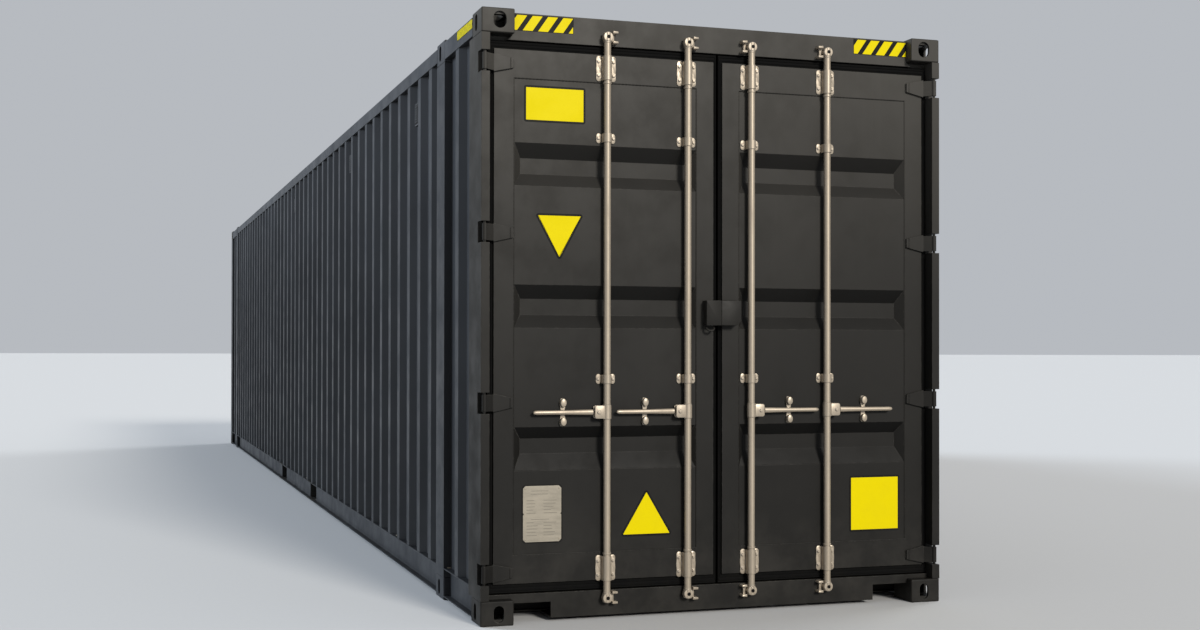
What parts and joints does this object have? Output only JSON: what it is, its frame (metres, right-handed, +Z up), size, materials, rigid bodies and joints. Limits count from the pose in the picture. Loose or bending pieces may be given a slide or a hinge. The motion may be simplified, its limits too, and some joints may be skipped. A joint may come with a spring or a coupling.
{
  "type": "shipping container",
  "caption": "Long high-cube steel freight container with corrugated walls, double doors with lock rods, and lifting castings at the ends and at the forty-foot places.",
  "frame": {"origin": "bottom centre of the bounding box, on the ground plane", "axes": "+X along the container toward the doors, +Y to the right of someone who faces the doors, +Z up"},
  "size_m": [13.716, 2.438, 2.896],
  "materials": {
    "body_paint": "satin paint on steel",
    "door_paint": "satin paint on steel",
    "base_paint": "dull waxed underside coating",
    "zinc": "galvanised",
    "seal_rubber": "matte",
    "floor_wood": "worn plywood",
    "plate_metal": "satin",
    "vent_plastic": "matte"
  },
  "bodies": {
    "container_frame": {"bottom_corner_castings": "door_paint", "bottom_forty_castings": "body_paint", "cross_members": "base_paint", "door_header": "door_paint", "door_sill": "door_paint", "floor_boards": "floor_wood", "fork_pocket_frames": "base_paint", "fork_pocket_sides": "base_paint", "forty_foot_posts": "body_paint", "front_header": "body_paint", "front_posts": "body_paint", "front_sill": "body_paint", "front_wall": "body_paint", "hinge_pins": "door_paint", "left_bottom_rail": "body_paint", "left_door_post": "door_paint", "left_side_wall": "body_paint", "left_top_rail": "body_paint", "right_bottom_rail": "body_paint", "right_door_post": "door_paint", "right_side_wall": "body_paint", "right_top_rail": "body_paint", "rod_keepers": "zinc", "roof": "body_paint", "roof_end_plates": "body_paint", "top_corner_castings": "door_paint", "top_forty_castings": "body_paint", "wall_vents": "vent_plastic"},
    "left_door": {"left_door_frame": "door_paint", "left_door_panel": "door_paint", "left_door_seal": "seal_rubber", "left_handle_retainers": "zinc", "left_hinge_blades": "door_paint", "left_rod_brackets": "zinc", "data_plate": "plate_metal", "lock_box_staple": "door_paint"},
    "left_inner_rod": {"left_inner_rod": "zinc"},
    "left_inner_handle": {"left_inner_handle": "zinc"},
    "left_outer_rod": {"left_outer_rod": "zinc"},
    "left_outer_handle": {"left_outer_handle": "zinc"},
    "right_door": {"right_door_frame": "door_paint", "right_door_panel": "door_paint", "right_door_seal": "seal_rubber", "right_handle_retainers": "zinc", "right_hinge_blades": "door_paint", "right_rod_brackets": "zinc", "lock_box_cover": "door_paint"},
    "right_inner_rod": {"right_inner_rod": "zinc"},
    "right_inner_handle": {"right_inner_handle": "zinc"},
    "right_outer_rod": {"right_outer_rod": "zinc"},
    "right_outer_handle": {"right_outer_handle": "zinc"}
  },
  "joints": [
    {"name": "left_door_hinge", "type": "hinge", "parent": "container_frame", "child": "left_door", "pos_m": [6.842, -1.198, 1.443], "axis": [0, 0, -1], "range_deg": [0, 265]},
    {"name": "right_door_hinge", "type": "hinge", "parent": "container_frame", "child": "right_door", "pos_m": [6.842, 1.198, 1.443], "axis": [0, 0, 1], "range_deg": [0, 265]},
    {"name": "left_outer_rod_turn", "type": "hinge", "parent": "left_door", "child": "left_outer_rod", "pos_m": [6.834, -0.588, 0.994], "axis": [0, 0, -1], "range_deg": [-90, 0]},
    {"name": "left_outer_handle_lift", "type": "hinge", "parent": "left_outer_rod", "child": "left_outer_handle", "pos_m": [6.834, -0.634, 0.994], "axis": [-1, 0, 0], "range_deg": [0, 30]},
    {"name": "left_inner_rod_turn", "type": "hinge", "parent": "left_door", "child": "left_inner_rod", "pos_m": [6.834, -0.17, 0.994], "axis": [0, 0, -1], "range_deg": [-90, 0]},
    {"name": "left_inner_handle_lift", "type": "hinge", "parent": "left_inner_rod", "child": "left_inner_handle", "pos_m": [6.834, -0.216, 0.994], "axis": [-1, 0, 0], "range_deg": [0, 30]},
    {"name": "right_outer_rod_turn", "type": "hinge", "parent": "right_door", "child": "right_outer_rod", "pos_m": [6.834, 0.588, 0.994], "axis": [0, 0, 1], "range_deg": [-90, 0]},
    {"name": "right_outer_handle_lift", "type": "hinge", "parent": "right_outer_rod", "child": "right_outer_handle", "pos_m": [6.834, 0.634, 0.994], "axis": [1, 0, 0], "range_deg": [0, 30]},
    {"name": "right_inner_rod_turn", "type": "hinge", "parent": "right_door", "child": "right_inner_rod", "pos_m": [6.834, 0.17, 0.994], "axis": [0, 0, 1], "range_deg": [-90, 0]},
    {"name": "right_inner_handle_lift", "type": "hinge", "parent": "right_inner_rod", "child": "right_inner_handle", "pos_m": [6.834, 0.216, 0.994], "axis": [1, 0, 0], "range_deg": [0, 30]}
  ]
}
